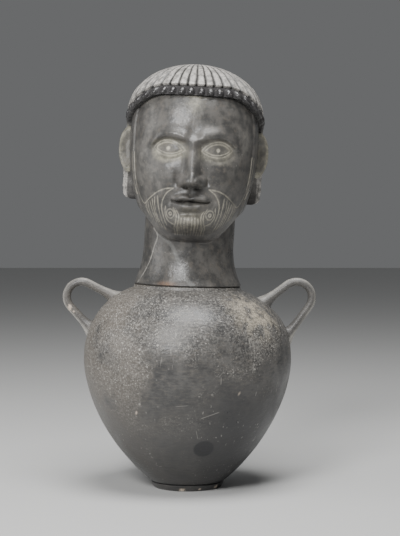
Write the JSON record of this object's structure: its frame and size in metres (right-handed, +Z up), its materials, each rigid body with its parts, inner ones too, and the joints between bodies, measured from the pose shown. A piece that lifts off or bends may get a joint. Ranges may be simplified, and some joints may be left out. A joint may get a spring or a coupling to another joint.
{
  "type": "canopic jar",
  "caption": "Round-bellied lidded cinerary jar of dark burnished clay with loop handles and a hollow lid shaped as a ribbed-haired head on its neck.",
  "frame": {"origin": "centre of the foot's underside", "axes": "+Z up, -Y the way the face looks, +X to the right of someone who faces it"},
  "size_m": [0.3097, 0.254, 0.5146],
  "materials": {
    "jar_clay": "dark burnished clay with a low sheen, pale specks and scratches",
    "lid_clay": "dark burnished clay dulled by a pale deposit, with pale incised lines"
  },
  "bodies": {
    "root": {"jar": "jar_clay", "left_handle": "jar_clay", "right_handle": "jar_clay", "head_lid": "lid_clay"}
  },
  "joints": []
}
